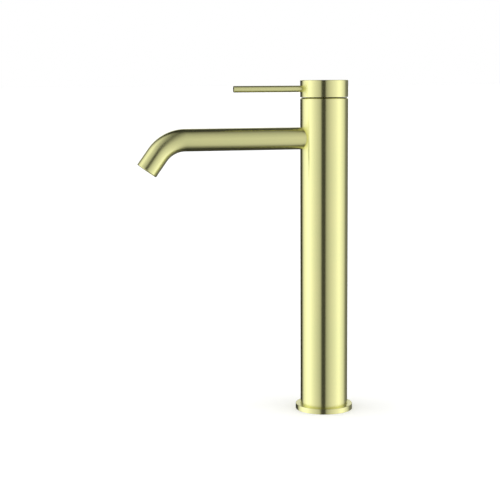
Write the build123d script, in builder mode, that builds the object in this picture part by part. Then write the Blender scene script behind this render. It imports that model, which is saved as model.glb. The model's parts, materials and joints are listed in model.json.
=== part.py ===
from build123d import *
import os
from math import hypot

os.makedirs("parts", exist_ok=True)

# Tall single-lever basin mixer. Millimetres, +Z up. The deck is z = 0, the origin is the centre of
# the base, and the spout and the lever both point to -X, towards the user.

# ---------------------------------------------------------------- driving dimensions
# Column: the turned tube that carries everything
column_diameter = 45.0
column_wall = 2.5
column_top = 298.4
column_edge = 1.3

# Base ring and its seal
ring_overhang = 4.7
ring_height = 5.05
ring_recess_depth = 2.55
ring_lip = 1.5
ring_edge = 0.4
ring_seat_edge = 0.25
seal_mean_radius = 23.0
seal_width = 3.7
seal_thickness = 1.5

# Anchor plate: takes the fixing stud, and lets the hoses through
plate_thickness = 10.0
stud_hole_radius = 3.4
stud_offset = 11.0
hose_slot_offset = -4.0
hose_slot_width = 13.0
hose_slot_spacing = 17.0

# Spout: a tube that runs level and then bends down
spout_drop = 37.94
spout_diameter = 20.8
spout_wall = 1.3
spout_run = 133.1
bend_radius = 31.7
bend_angle = 54.3
nose_length = 17.7
spout_edge = 0.3

# Aerator, screwed into the mouth of the spout
aerator_recess = 0.8
aerator_length = 8.0
aerator_wall = 0.8
aerator_lip_height = 1.2
aerator_lip_width = 0.9
key_notch = 1.6
mesh_thickness = 0.4
mesh_hole_radius = 0.7
mesh_rings = ((2.0, 6), (4.0, 12), (6.0, 18))
former_thickness = 4.0
former_hole_radius = 1.0
former_rings = ((2.6, 6), (5.6, 12))
washer_thickness = 1.6
washer_width = 1.6
shoulder_length = 1.2
shoulder_width = 0.9

# Cartridge: the 35 mm ceramic valve
cartridge_diameter = 35.0
housing_wall = 1.5
housing_shoulder = 2.0
housing_height = 17.3
neck_radius = 13.0
neck_bore_radius = 11.0
neck_height = 7.0
cartridge_base_thickness = 4.0
peg_radius = 1.25
peg_length = 2.0
peg_forward = 4.0
peg_spacing = 26.0
fixed_disc_thickness = 3.8
moving_disc_radius = 11.8
moving_disc_thickness = 3.5
pocket_depth = 2.0
pocket_radius = 10.8
pocket_front = -1.2

# Waterways through the discs, the cartridge base and the valve body
inlet_forward = -4.0
inlet_spacing = 16.0
inlet_radius = 2.6
outlet_back = 6.5
outlet_radius = 3.5
passage_width = 6.0
passage_roof = 2.5
passage_floor_drop = 8.0
inlet_thread_radius = 4.5
inlet_thread_depth = 10.0
valve_body_foot_drop = 24.5
port_seal_width = 1.3
port_seal_thickness = 1.2

# Retaining nut and the cover ring above it
nut_height = 7.0
nut_bore_radius = 13.4
notch_width = 4.0
notch_depth = 2.5
cover_ring_drop = 0.3
cover_opening_radius = 15.0
cover_edge = 0.6

# Turning head: the rotor that the lever turns, and its cross pin
pivot_depth = 11.6
neck_rise = 5.0
rotor_top_drop = 0.4
rotor_slot_length = 14.0
pin_diameter = 3.0
pin_length = 20.0
ring_groove_height = 1.4
ring_groove_depth = 1.2
ring_groove_drop = 1.0
lug_length = 8.0
lug_thickness = 2.2
lug_clearance = 0.7

# Disc carrier: slides under the rotor and takes the moving disc along
carrier_thickness = 4.5
carrier_flats = 20.0
carrier_hole_radius = 2.62
drive_peg_radius = 1.0
drive_peg_length = 1.2
drive_peg_back = 5.0
drive_peg_spacing = 12.0

# Spindle: tilts on the cross pin and pushes the carrier
spindle_size = 8.0
spindle_top_reach = 23.9
spindle_foot = 4.0
arm_radius = 1.8
ball_radius = 2.45
ball_rise = 3.0
spindle_edge = 0.4

# Handle cap, lever rod and grub screw
seam_gap = 0.4
cap_height = 15.8
cap_edge = 0.6
cap_rim_edge = 0.15
cap_top_thickness = 8.2
hub_radius = 7.5
socket_gap = 0.05
lever_drop = 8.0
lever_diameter = 6.0
lever_tip = 87.1
lever_edge = 0.3
lever_seat_depth = 1.5
stud_diameter = 5.0
stud_length = 6.8
boss_radius = 4.5
grub_length = 9.7
grub_key_size = 2.5
grub_key_depth = 2.5

# Clearances
joint_gap = 0.05
thread_gap = 0.03
running_gap = 0.1
pin_gap = 0.03
slide_gap = 0.2
float_gap = 0.5
swing_gap = 0.3

# ---------------------------------------------------------------- sizes that follow
column_radius = column_diameter / 2
column_bore_radius = column_radius - column_wall
ring_diameter = column_diameter + 2 * ring_overhang
column_bottom = ring_height - ring_recess_depth
insert_radius = column_bore_radius - joint_gap

spout_height = column_top - spout_drop
spout_radius = spout_diameter / 2
spout_bore_radius = spout_radius - spout_wall
spout_plane = Plane(origin=(0, 0, spout_height), x_dir=(0, -1, 0), z_dir=(-1, 0, 0))

pivot_height = column_top - pivot_depth
neck_top = pivot_height + neck_rise
housing_top = neck_top - neck_height
housing_bottom = housing_top - housing_height
cartridge_seat = housing_bottom - cartridge_base_thickness
cartridge_radius = cartridge_diameter / 2
cavity_radius = cartridge_radius - housing_wall
cavity_top = housing_top - housing_shoulder
chamber_radius = cartridge_radius + running_gap
disc_top = housing_bottom + fixed_disc_thickness
fixed_disc_radius = cavity_radius - slide_gap
moving_disc_top = disc_top + moving_disc_thickness
carrier_top = moving_disc_top + carrier_thickness
ball_arm = pivot_height - moving_disc_top - ball_rise
inlet_points = [(inlet_forward, inlet_spacing / 2), (inlet_forward, -inlet_spacing / 2)]
outlet_point = (outlet_back, 0)
peg_points = [(peg_forward, peg_spacing / 2), (peg_forward, -peg_spacing / 2)]
drive_peg_points = [(drive_peg_back, drive_peg_spacing / 2), (drive_peg_back, -drive_peg_spacing / 2)]

valve_body_bottom = spout_height - valve_body_foot_drop
valve_body_top = housing_top - swing_gap
passage_floor = spout_height - passage_floor_drop
passage_top = cartridge_seat - passage_roof

rotor_radius = neck_bore_radius - running_gap
rotor_slot_width = spindle_size + 2 * slide_gap
rotor_top = neck_top - rotor_top_drop
groove_bottom = rotor_top - ring_groove_drop - ring_groove_height
flange_top = cavity_top - slide_gap
flange_bottom = carrier_top + float_gap
lug_inner = carrier_flats / 2 + slide_gap
lug_bottom = moving_disc_top + lug_clearance

cover_ring_top = column_top - cover_ring_drop
cap_bottom = column_top + seam_gap
cap_top = cap_bottom + cap_height
cap_ceiling = cap_top - cap_top_thickness
swing_radius = hypot(column_radius, column_top - column_edge - pivot_height) + swing_gap
lever_height = cap_top - lever_drop
lever_plane = Plane(origin=(0, 0, lever_height), x_dir=(0, -1, 0), z_dir=(-1, 0, 0))
lever_seat = column_radius - lever_seat_depth
stud_tip = lever_seat - stud_length
socket_size = spindle_size + 2 * socket_gap
socket_top = pivot_height + spindle_top_reach + slide_gap

aerator_radius = spout_bore_radius - joint_gap
aerator_bore_radius = aerator_radius - aerator_wall
aerator_insert_radius = aerator_bore_radius - joint_gap
aerator_lip_radius = aerator_bore_radius - aerator_lip_width
mesh_depth = aerator_recess + aerator_lip_height
former_depth = mesh_depth + mesh_thickness
washer_depth = aerator_recess + aerator_length
shoulder_depth = washer_depth + washer_thickness

# The centre line of the spout, from the axis of the column to its mouth
with BuildLine(Plane.XZ) as spout_path:
    run = Line((0, spout_height), (-spout_run, spout_height))
    bend = JernArc(run @ 1, run % 1, bend_radius, bend_angle)
    nose = Line(bend @ 1, bend @ 1 + (bend % 1) * nose_length)

# The mouth plane looks back up the spout
mouth = Plane(origin=nose @ 1, x_dir=(0, 1, 0), z_dir=(nose % 1) * -1)

# ---------------------------------------------------------------- base ring
with BuildPart() as base_ring:
    with BuildSketch():
        Circle(ring_diameter / 2)
        Circle(column_bore_radius - ring_lip, mode=Mode.SUBTRACT)
    extrude(amount=ring_height)
    fillet(edges().group_by(Axis.Z)[-1].sort_by(SortBy.RADIUS)[-1], ring_edge)
    # Recess that the foot of the column stands in
    with BuildSketch(Plane.XY.offset(column_bottom)):
        Circle(column_radius + joint_gap)
    extrude(amount=ring_recess_depth, mode=Mode.SUBTRACT)
    chamfer(edges().group_by(Axis.Z)[-1].sort_by(SortBy.RADIUS)[0], ring_seat_edge)
    # Groove for the seal in the underside
    with BuildSketch():
        Circle(seal_mean_radius + seal_width / 2 + joint_gap)
        Circle(seal_mean_radius - seal_width / 2 - joint_gap, mode=Mode.SUBTRACT)
    extrude(amount=seal_thickness, mode=Mode.SUBTRACT)
base_ring.part.label = "base_ring"
export_step(base_ring.part, "parts/base_ring.step")

# ---------------------------------------------------------------- base seal
with BuildPart() as base_seal:
    with BuildSketch():
        Circle(seal_mean_radius + seal_width / 2)
        Circle(seal_mean_radius - seal_width / 2, mode=Mode.SUBTRACT)
    extrude(amount=seal_thickness)
base_seal.part.label = "base_seal"
export_step(base_seal.part, "parts/base_seal.step")

# ---------------------------------------------------------------- column
with BuildPart() as column:
    with BuildSketch(Plane.XY.offset(column_bottom)):
        Circle(column_radius)
        Circle(column_bore_radius, mode=Mode.SUBTRACT)
    extrude(amount=column_top - column_bottom)
    chamfer(edges().group_by(Axis.Z)[-1].sort_by(SortBy.RADIUS)[-1], column_edge)
    # Hole that the spout is brazed into
    with BuildSketch(spout_plane):
        Circle(spout_radius + joint_gap)
    extrude(amount=column_diameter, mode=Mode.SUBTRACT)
column.part.label = "column"
export_step(column.part, "parts/column.step")

# ---------------------------------------------------------------- anchor plate
with BuildPart() as anchor_plate:
    with BuildSketch(Plane.XY.offset(column_bottom)):
        Circle(insert_radius)
        with Locations((hose_slot_offset, 0)):
            SlotCenterToCenter(hose_slot_spacing, hose_slot_width, rotation=90, mode=Mode.SUBTRACT)
        with Locations((stud_offset, 0)):
            Circle(stud_hole_radius, mode=Mode.SUBTRACT)
    extrude(amount=plate_thickness)
anchor_plate.part.label = "anchor_plate"
export_step(anchor_plate.part, "parts/anchor_plate.step")

# ---------------------------------------------------------------- valve body
with BuildPart() as valve_body:
    with BuildSketch(Plane.XY.offset(valve_body_bottom)):
        Circle(insert_radius)
    extrude(amount=valve_body_top - valve_body_bottom)
    # Chamber for the cartridge
    with BuildSketch(Plane.XY.offset(cartridge_seat)):
        Circle(chamber_radius)
    extrude(amount=valve_body_top - cartridge_seat, mode=Mode.SUBTRACT)
    # Holes in the seat for the pegs of the cartridge base
    with BuildSketch(Plane.XY.offset(cartridge_seat - peg_length - slide_gap)):
        with Locations(*peg_points):
            Circle(peg_radius + joint_gap)
    extrude(amount=peg_length + slide_gap, mode=Mode.SUBTRACT)
    # Two inlets from below, threaded at their mouths
    with BuildSketch(Plane.XY.offset(valve_body_bottom)):
        with Locations(*inlet_points):
            Circle(inlet_radius)
    extrude(amount=cartridge_seat - valve_body_bottom, mode=Mode.SUBTRACT)
    with BuildSketch(Plane.XY.offset(valve_body_bottom)):
        with Locations(*inlet_points):
            Circle(inlet_thread_radius)
    extrude(amount=inlet_thread_depth, mode=Mode.SUBTRACT)
    # Outlet: down from the seat, then forward into the spout
    with BuildSketch(Plane.XY.offset(passage_floor)):
        with Locations(outlet_point):
            Circle(outlet_radius)
    extrude(amount=cartridge_seat - passage_floor, mode=Mode.SUBTRACT)
    with BuildSketch(Plane.XY.offset(passage_floor)):
        with Locations(outlet_point):
            Rectangle(column_diameter, passage_width, align=(Align.MAX, Align.CENTER))
    extrude(amount=passage_top - passage_floor, mode=Mode.SUBTRACT)
valve_body.part.label = "valve_body"
export_step(valve_body.part, "parts/valve_body.step")

# ---------------------------------------------------------------- spout tube
with BuildPart() as spout_tube:
    with BuildSketch(spout_plane):
        Circle(spout_radius)
        Circle(spout_bore_radius, mode=Mode.SUBTRACT)
    sweep(path=spout_path.line)
    chamfer(edges().sort_by(Axis.Z)[0], spout_edge)
    # The inner end is cut to the bore of the column
    with BuildSketch(Plane.XY.offset(spout_height - spout_diameter)):
        Circle(column_bore_radius)
    extrude(amount=2 * spout_diameter, mode=Mode.SUBTRACT)
    # Shoulder inside the mouth, which the washer of the aerator is pressed against
    with BuildSketch(mouth.offset(shoulder_depth)):
        Circle(spout_bore_radius + spout_wall / 2)
        Circle(spout_bore_radius - shoulder_width, mode=Mode.SUBTRACT)
    extrude(amount=shoulder_length)
spout_tube.part.label = "spout_tube"
export_step(spout_tube.part, "parts/spout_tube.step")

# ---------------------------------------------------------------- aerator shell
with BuildPart() as aerator_shell:
    with BuildSketch(mouth.offset(aerator_recess)):
        Circle(aerator_radius)
    extrude(amount=aerator_length)
    with BuildSketch(mouth.offset(mesh_depth)):
        Circle(aerator_bore_radius)
    extrude(amount=aerator_length - aerator_lip_height, mode=Mode.SUBTRACT)
    with BuildSketch(mouth.offset(aerator_recess)):
        Circle(aerator_lip_radius)
        with PolarLocations(aerator_lip_radius, 4):
            Rectangle(key_notch / 2, key_notch)
    extrude(amount=aerator_lip_height, mode=Mode.SUBTRACT)
aerator_shell.part.label = "aerator_shell"
export_step(aerator_shell.part, "parts/aerator_shell.step")

# ---------------------------------------------------------------- aerator mesh
with BuildPart() as aerator_mesh:
    with BuildSketch(mouth.offset(mesh_depth)):
        Circle(aerator_insert_radius)
        Circle(mesh_hole_radius, mode=Mode.SUBTRACT)
        for ring_radius, hole_count in mesh_rings:
            with PolarLocations(ring_radius, hole_count):
                Circle(mesh_hole_radius, mode=Mode.SUBTRACT)
    extrude(amount=mesh_thickness)
aerator_mesh.part.label = "aerator_mesh"
export_step(aerator_mesh.part, "parts/aerator_mesh.step")

# ---------------------------------------------------------------- flow former
with BuildPart() as flow_former:
    with BuildSketch(mouth.offset(former_depth)):
        Circle(aerator_insert_radius)
        for ring_radius, hole_count in former_rings:
            with PolarLocations(ring_radius, hole_count):
                Circle(former_hole_radius, mode=Mode.SUBTRACT)
    extrude(amount=former_thickness)
flow_former.part.label = "flow_former"
export_step(flow_former.part, "parts/flow_former.step")

# ---------------------------------------------------------------- aerator washer
with BuildPart() as aerator_washer:
    with BuildSketch(mouth.offset(washer_depth)):
        Circle(aerator_radius)
        Circle(aerator_radius - washer_width, mode=Mode.SUBTRACT)
    extrude(amount=washer_thickness)
aerator_washer.part.label = "aerator_washer"
export_step(aerator_washer.part, "parts/aerator_washer.step")

# ---------------------------------------------------------------- cartridge base
with BuildPart() as cartridge_base:
    with BuildSketch(Plane.XY.offset(cartridge_seat)):
        Circle(cartridge_radius)
    extrude(amount=cartridge_base_thickness)
    with BuildSketch(Plane.XY.offset(cartridge_seat - peg_length)):
        with Locations(*peg_points):
            Circle(peg_radius)
    extrude(amount=peg_length)
    with BuildSketch(Plane.XY.offset(cartridge_seat)):
        with Locations(*inlet_points):
            Circle(inlet_radius)
        with Locations(outlet_point):
            Circle(outlet_radius)
    extrude(amount=cartridge_base_thickness, mode=Mode.SUBTRACT)
    # Seats for the seals, below and above
    with BuildSketch(Plane.XY.offset(cartridge_seat), Plane.XY.offset(housing_bottom - port_seal_thickness)):
        with Locations(*inlet_points):
            Circle(inlet_radius + port_seal_width + joint_gap)
        with Locations(outlet_point):
            Circle(outlet_radius + port_seal_width + joint_gap)
    extrude(amount=port_seal_thickness, mode=Mode.SUBTRACT)
cartridge_base.part.label = "cartridge_base"
export_step(cartridge_base.part, "parts/cartridge_base.step")

# ---------------------------------------------------------------- port seals, under the base
# Rings round the three ports, which both sets of seals are made from
with BuildSketch() as port_rings:
    with Locations(*inlet_points):
        Circle(inlet_radius + port_seal_width)
        Circle(inlet_radius, mode=Mode.SUBTRACT)
    with Locations(outlet_point):
        Circle(outlet_radius + port_seal_width)
        Circle(outlet_radius, mode=Mode.SUBTRACT)

with BuildPart() as port_seals:
    with BuildSketch(Plane.XY.offset(cartridge_seat)):
        add(port_rings.sketch_local)
    extrude(amount=port_seal_thickness)
port_seals.part.label = "port_seals"
export_step(port_seals.part, "parts/port_seals.step")

# ---------------------------------------------------------------- disc seals, under the fixed disc
with BuildPart() as disc_seals:
    with BuildSketch(Plane.XY.offset(housing_bottom - port_seal_thickness)):
        add(port_rings.sketch_local)
    extrude(amount=port_seal_thickness)
disc_seals.part.label = "disc_seals"
export_step(disc_seals.part, "parts/disc_seals.step")

# ---------------------------------------------------------------- fixed ceramic disc
with BuildPart() as fixed_disc:
    with BuildSketch(Plane.XY.offset(housing_bottom)):
        Circle(fixed_disc_radius)
        with Locations(*inlet_points):
            Circle(inlet_radius, mode=Mode.SUBTRACT)
        with Locations(outlet_point):
            Circle(outlet_radius, mode=Mode.SUBTRACT)
    extrude(amount=fixed_disc_thickness)
fixed_disc.part.label = "fixed_disc"
export_step(fixed_disc.part, "parts/fixed_disc.step")

# ---------------------------------------------------------------- cartridge housing
with BuildPart() as cartridge_housing:
    with BuildSketch(Plane.XY.offset(housing_bottom)):
        Circle(cartridge_radius)
    extrude(amount=housing_height)
    with BuildSketch(Plane.XY.offset(housing_top)):
        Circle(neck_radius)
    extrude(amount=neck_height)
    with BuildSketch(Plane.XY.offset(housing_bottom)):
        Circle(cavity_radius)
    extrude(amount=cavity_top - housing_bottom, mode=Mode.SUBTRACT)
    with BuildSketch(Plane.XY.offset(cavity_top)):
        Circle(neck_bore_radius)
    extrude(amount=neck_top - cavity_top, mode=Mode.SUBTRACT)
cartridge_housing.part.label = "cartridge_housing"
export_step(cartridge_housing.part, "parts/cartridge_housing.step")

# ---------------------------------------------------------------- retaining nut
with BuildPart() as retaining_nut:
    with BuildSketch(Plane.XY.offset(housing_top)):
        Circle(insert_radius)
        Circle(nut_bore_radius, mode=Mode.SUBTRACT)
    extrude(amount=nut_height)
    # Notches for the spanner
    with BuildSketch(Plane.XY.offset(housing_top + nut_height - notch_depth)):
        with PolarLocations((insert_radius + nut_bore_radius) / 2, 4, start_angle=45):
            Rectangle(insert_radius, notch_width)
    extrude(amount=notch_depth, mode=Mode.SUBTRACT)
retaining_nut.part.label = "retaining_nut"
export_step(retaining_nut.part, "parts/retaining_nut.step")

# ---------------------------------------------------------------- cover ring
with BuildPart() as cover_ring:
    with BuildSketch(Plane.XY.offset(housing_top + nut_height)):
        Circle(insert_radius)
        Circle(cover_opening_radius, mode=Mode.SUBTRACT)
    extrude(amount=cover_ring_top - housing_top - nut_height)
    chamfer(edges().group_by(Axis.Z)[-1], cover_edge)
cover_ring.part.label = "cover_ring"
export_step(cover_ring.part, "parts/cover_ring.step")

# ---------------------------------------------------------------- rotor
with BuildPart() as rotor:
    with BuildSketch(Plane.XY.offset(flange_bottom)):
        Circle(cavity_radius - slide_gap)
    extrude(amount=flange_top - flange_bottom)
    with BuildSketch(Plane.XY.offset(flange_top)):
        Circle(rotor_radius)
    extrude(amount=rotor_top - flange_top)
    # Lugs that hold the carrier square while it slides
    with BuildSketch(Plane.XY.offset(lug_bottom)):
        with Locations((0, lug_inner + lug_thickness / 2), (0, -lug_inner - lug_thickness / 2)):
            Rectangle(lug_length, lug_thickness)
    extrude(amount=flange_bottom - lug_bottom)
    # Slot that the spindle tilts in
    with BuildSketch(Plane.XY.offset(flange_bottom)):
        Rectangle(rotor_slot_length, rotor_slot_width)
    extrude(amount=rotor_top - flange_bottom, mode=Mode.SUBTRACT)
    # Groove for the neck seal
    with BuildSketch(Plane.XY.offset(groove_bottom)):
        Circle(rotor_radius)
        Circle(rotor_radius - ring_groove_depth, mode=Mode.SUBTRACT)
    extrude(amount=ring_groove_height, mode=Mode.SUBTRACT)
    # Hole for the cross pin
    with BuildSketch(Plane.XZ):
        with Locations((0, pivot_height)):
            Circle(pin_diameter / 2)
    extrude(amount=rotor_radius, both=True, mode=Mode.SUBTRACT)
rotor.part.label = "rotor"
export_step(rotor.part, "parts/rotor.step")

# ---------------------------------------------------------------- neck seal
with BuildPart() as neck_seal:
    with BuildSketch(Plane.XY.offset(groove_bottom)):
        Circle(rotor_radius)
        Circle(rotor_radius - ring_groove_depth + joint_gap, mode=Mode.SUBTRACT)
    extrude(amount=ring_groove_height)
neck_seal.part.label = "neck_seal"
export_step(neck_seal.part, "parts/neck_seal.step")

# ---------------------------------------------------------------- cross pin
with BuildPart() as pivot_pin:
    with BuildSketch(Plane.XZ):
        with Locations((0, pivot_height)):
            Circle(pin_diameter / 2)
    extrude(amount=pin_length / 2, both=True)
pivot_pin.part.label = "pivot_pin"
export_step(pivot_pin.part, "parts/pivot_pin.step")

# ---------------------------------------------------------------- disc carrier
with BuildPart() as disc_carrier:
    with BuildSketch(Plane.XY.offset(moving_disc_top)):
        Circle(moving_disc_radius)
        Rectangle(2 * moving_disc_radius, carrier_flats, mode=Mode.INTERSECT)
        Circle(carrier_hole_radius, mode=Mode.SUBTRACT)
    extrude(amount=carrier_thickness)
    # Pegs that drive the moving disc
    with BuildSketch(Plane.XY.offset(moving_disc_top - drive_peg_length)):
        with Locations(*drive_peg_points):
            Circle(drive_peg_radius)
    extrude(amount=drive_peg_length)
disc_carrier.part.label = "disc_carrier"
export_step(disc_carrier.part, "parts/disc_carrier.step")

# ---------------------------------------------------------------- moving ceramic disc
with BuildPart() as moving_disc:
    with BuildSketch(Plane.XY.offset(disc_top)):
        Circle(moving_disc_radius)
    extrude(amount=moving_disc_thickness)
    # Pocket in the underside that joins the inlets to the outlet
    with BuildSketch(Plane.XY.offset(disc_top)):
        Circle(pocket_radius)
        with Locations((pocket_front, 0)):
            Rectangle(
                2 * pocket_radius,
                2 * pocket_radius,
                align=(Align.MAX, Align.CENTER),
                mode=Mode.SUBTRACT,
            )
    extrude(amount=pocket_depth, mode=Mode.SUBTRACT)
    with BuildSketch(Plane.XY.offset(moving_disc_top - drive_peg_length - joint_gap)):
        with Locations(*drive_peg_points):
            Circle(drive_peg_radius + joint_gap)
    extrude(amount=drive_peg_length + joint_gap, mode=Mode.SUBTRACT)
moving_disc.part.label = "moving_disc"
export_step(moving_disc.part, "parts/moving_disc.step")

# ---------------------------------------------------------------- spindle
with BuildPart() as spindle:
    with BuildSketch(Plane.XY.offset(pivot_height - spindle_foot)):
        Rectangle(spindle_size, spindle_size)
    extrude(amount=spindle_foot + spindle_top_reach)
    chamfer(edges().group_by(Axis.Z)[-1], spindle_edge)
    with BuildSketch(Plane.XY.offset(pivot_height - ball_arm)):
        Circle(arm_radius)
    extrude(amount=ball_arm - spindle_foot)
    with Locations((0, 0, pivot_height - ball_arm)):
        Sphere(ball_radius)
    with BuildSketch(Plane.XZ):
        with Locations((0, pivot_height)):
            Circle(pin_diameter / 2 + pin_gap)
    extrude(amount=spindle_size, both=True, mode=Mode.SUBTRACT)
spindle.part.label = "spindle"
export_step(spindle.part, "parts/spindle.step")

# ---------------------------------------------------------------- handle cap
with BuildPart() as handle_cap:
    with BuildSketch(Plane.XY.offset(cap_bottom)):
        Circle(column_radius)
    extrude(amount=cap_height)
    fillet(edges().group_by(Axis.Z)[-1], cap_edge)
    chamfer(edges().group_by(Axis.Z)[0], cap_rim_edge)
    # Hollow that swings over the top of the column
    with BuildSketch(Plane.XZ):
        with Locations((0, pivot_height)):
            Circle(swing_radius)
        with Locations((0, cap_ceiling)):
            Rectangle(
                2 * swing_radius,
                swing_radius,
                align=(Align.CENTER, Align.MIN),
                mode=Mode.SUBTRACT,
            )
        Rectangle(
            2 * swing_radius,
            2 * cap_top,
            align=(Align.MAX, Align.CENTER),
            mode=Mode.SUBTRACT,
        )
    revolve(axis=Axis.Z, mode=Mode.SUBTRACT)
    # Hub that takes the spindle, and boss round the thread of the lever
    with BuildSketch(Plane.XY.offset(cap_bottom)):
        Circle(hub_radius)
    extrude(amount=cap_ceiling - cap_bottom)
    with BuildSketch(lever_plane):
        Circle(boss_radius)
    extrude(amount=lever_seat)
    with BuildSketch(Plane.XY.offset(cap_bottom)):
        Rectangle(socket_size, socket_size)
    extrude(amount=socket_top - cap_bottom, mode=Mode.SUBTRACT)
    # Thread for the lever and the grub screw, with a seat for the end of the rod
    with BuildSketch(lever_plane):
        Circle(stud_diameter / 2 + thread_gap)
    extrude(amount=column_diameter, mode=Mode.SUBTRACT)
    with BuildSketch(lever_plane.offset(lever_seat)):
        Circle(lever_diameter / 2 + joint_gap)
    extrude(amount=column_diameter, mode=Mode.SUBTRACT)
handle_cap.part.label = "handle_cap"
export_step(handle_cap.part, "parts/handle_cap.step")

# ---------------------------------------------------------------- lever rod
with BuildPart() as lever_rod:
    with BuildSketch(lever_plane.offset(lever_seat)):
        Circle(lever_diameter / 2)
    extrude(amount=lever_tip - lever_seat)
    chamfer(edges().sort_by(Axis.X)[0], lever_edge)
    with BuildSketch(lever_plane.offset(stud_tip)):
        Circle(stud_diameter / 2)
    extrude(amount=stud_length)
lever_rod.part.label = "lever_rod"
export_step(lever_rod.part, "parts/lever_rod.step")

# ---------------------------------------------------------------- grub screw
with BuildPart() as grub_screw:
    with BuildSketch(lever_plane.offset(spindle_size / 2)):
        Circle(stud_diameter / 2)
    extrude(amount=grub_length)
    with BuildSketch(lever_plane.offset(spindle_size / 2 + grub_length - grub_key_depth)):
        RegularPolygon(grub_key_size / 2, 6, major_radius=False)
    extrude(amount=grub_key_depth, mode=Mode.SUBTRACT)
grub_screw.part.label = "grub_screw"
export_step(grub_screw.part, "parts/grub_screw.step")
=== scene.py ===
"""Tall single-lever basin mixer: fine meshes, finishes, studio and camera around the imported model.

Everything is in metres in the model's own frame: +Z up, the spout and the lever towards -X, and the
origin at the centre of the base, on the deck.
"""

from __future__ import annotations

import json
import logging
import math
from collections.abc import Sequence
from dataclasses import dataclass, field
from enum import Enum

import bpy
from mathutils import Matrix, Vector


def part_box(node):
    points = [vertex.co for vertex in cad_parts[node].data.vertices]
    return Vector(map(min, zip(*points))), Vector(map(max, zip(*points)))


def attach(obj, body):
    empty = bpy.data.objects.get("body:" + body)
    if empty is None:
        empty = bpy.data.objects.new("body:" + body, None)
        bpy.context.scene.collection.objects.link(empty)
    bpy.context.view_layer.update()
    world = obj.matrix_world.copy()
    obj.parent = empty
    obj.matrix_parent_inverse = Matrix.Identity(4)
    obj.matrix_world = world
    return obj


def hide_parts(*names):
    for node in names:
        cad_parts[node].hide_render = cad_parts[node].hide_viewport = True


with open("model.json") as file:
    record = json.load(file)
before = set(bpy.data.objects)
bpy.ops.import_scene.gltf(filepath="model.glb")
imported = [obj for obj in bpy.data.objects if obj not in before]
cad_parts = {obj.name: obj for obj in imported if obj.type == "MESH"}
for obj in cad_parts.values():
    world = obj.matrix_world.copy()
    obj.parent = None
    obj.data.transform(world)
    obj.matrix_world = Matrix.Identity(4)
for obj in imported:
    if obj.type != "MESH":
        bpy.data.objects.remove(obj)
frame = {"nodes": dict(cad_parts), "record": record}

LOG = logging.getLogger("basin_mixer")
MM = 0.001
TINY = 1e-9
UV_NAME = "Turning"

Pair = tuple[float, float]
Outline = list[Pair]
Ramp = tuple[Pair, ...]
Colour = tuple[float, float, float]
Piece = bpy.types.Object
Socket = bpy.types.NodeSocket


# ---- shapes


@dataclass(frozen=True)
class Corner:
    """One corner of a turned outline.

    Attributes:
        radius: Distance from the axis, in metres.
        along: Distance along the axis, in metres.
        rounding: Radius of the rounded corner, or 0 for a sharp one.
    """

    radius: float
    along: float
    rounding: float = 0.0


@dataclass(frozen=True)
class Axis:
    """A straight centre line that a piece is turned about.

    Attributes:
        origin: The point where the distance along the line is 0.
        direction: The way the distance grows, of unit length.
        side: A direction square to it, where the turning starts.
    """

    origin: Vector
    direction: Vector
    side: Vector

    @property
    def other(self) -> Vector:
        """The direction a quarter turn on from the side."""
        return self.direction.cross(self.side)

    def breaks(self, low: float, high: float) -> list[float]:
        """Returns no distances, because a straight line needs no point between its ends."""
        return []

    def place(self, along: float, radius: float, angle: float) -> Vector:
        """Gives a point on a ring round the line.

        Args:
            along: Distance along the line.
            radius: Radius of the ring.
            angle: Angle round the ring, in radians.

        Returns:
            The point in the model's frame.
        """
        ring = self.side * math.cos(angle) + self.other * math.sin(angle)
        return self.origin + self.direction * along + ring * radius


UPRIGHT = Axis(Vector((0, 0, 0)), Vector((0, 0, 1)), Vector((1, 0, 0)))


@dataclass(frozen=True)
class BentAxis:
    """The centre line of the spout: level towards -X, a bend downwards, and a straight nose.

    Attributes:
        height: Height of the level run.
        run: Length of the level run, from the axis of the column.
        bend_radius: Radius of the bend at the centre line.
        bend_angle: Angle of the bend, in radians.
        nose: Length of the straight nose.
        facets: Number of steps round the bend.
        margin: How near to an end of a run no ring is put.
    """

    height: float
    run: float
    bend_radius: float
    bend_angle: float
    nose: float
    facets: int = 40
    margin: float = 0.1 * MM

    @property
    def length(self) -> float:
        """The whole length of the centre line."""
        return self.run + self.bend_radius * self.bend_angle + self.nose

    def breaks(self, low: float, high: float) -> list[float]:
        """Lists the distances between two ends where a bent tube needs a ring.

        Args:
            low: The nearer end.
            high: The farther end.

        Returns:
            The distances, growing.
        """
        bend = self.bend_radius * self.bend_angle
        marks = [self.run + bend * step / self.facets for step in range(self.facets + 1)]
        return [mark for mark in marks if low + self.margin < mark < high - self.margin]

    def frame_at(self, along: float) -> tuple[Vector, Vector, Vector]:
        """Gives the centre, the heading and the outer side of the bend at a distance.

        Args:
            along: Distance along the centre line.

        Returns:
            The centre point, the unit heading, and the unit vector to the outside of the bend.
        """
        past = min(max(along - self.run, 0.0), self.bend_radius * self.bend_angle)
        turn = past / self.bend_radius
        heading = Vector((-math.cos(turn), 0, -math.sin(turn)))
        outside = Vector((-math.sin(turn), 0, math.cos(turn)))
        pivot = Vector((-self.run, 0, self.height - self.bend_radius))
        if along <= self.run:
            return Vector((-along, 0, self.height)), heading, outside
        return pivot + outside * self.bend_radius + heading * (along - self.run - past), heading, outside

    def place(self, along: float, radius: float, angle: float) -> Vector:
        """Gives a point on a ring round the centre line.

        Args:
            along: Distance along the centre line.
            radius: Radius of the ring.
            angle: Angle round the ring, in radians, from the outside of the bend.

        Returns:
            The point in the model's frame.
        """
        centre, _, outside = self.frame_at(along)
        return centre + (outside * math.cos(angle) + Vector((0, 1, 0)) * math.sin(angle)) * radius


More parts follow.
